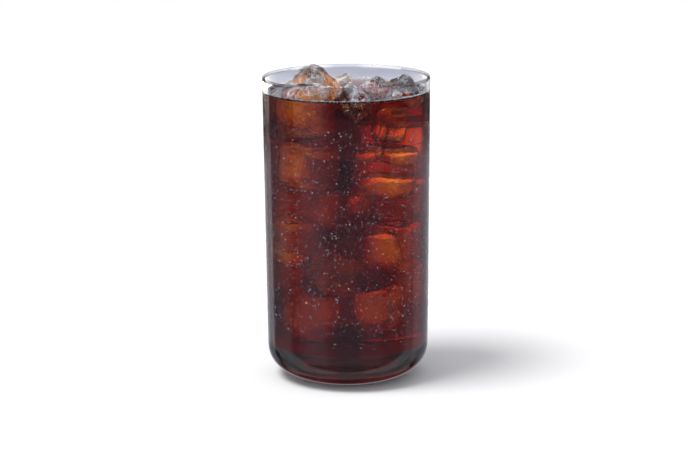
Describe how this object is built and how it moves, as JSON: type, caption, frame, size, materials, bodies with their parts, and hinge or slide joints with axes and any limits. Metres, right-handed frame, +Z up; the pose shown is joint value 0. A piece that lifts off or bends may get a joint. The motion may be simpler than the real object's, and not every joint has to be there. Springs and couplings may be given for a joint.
{
  "type": "iced americano",
  "caption": "Iced americano: black coffee with ice cubes breaking its surface, in a tall clear tumbler with a thin lip and a rounded heel.",
  "frame": {"origin": "middle of the foot, on the surface the glass stands on", "axes": "+Z up along the glass's axis; +X to the right and +Y away, as the drink is seen from its front"},
  "size_m": [0.08, 0.08, 0.1503],
  "materials": {
    "glass": "clear, polished",
    "coffee": "clear dark red-brown liquid",
    "ice": "clear wet ice"
  },
  "bodies": {
    "root": {"glass": "glass", "coffee": "coffee", "ice_left_back": "ice", "ice_left_front": "ice", "ice_front": "ice", "ice_back": "ice", "ice_middle": "ice", "ice_right": "ice"}
  },
  "joints": []
}
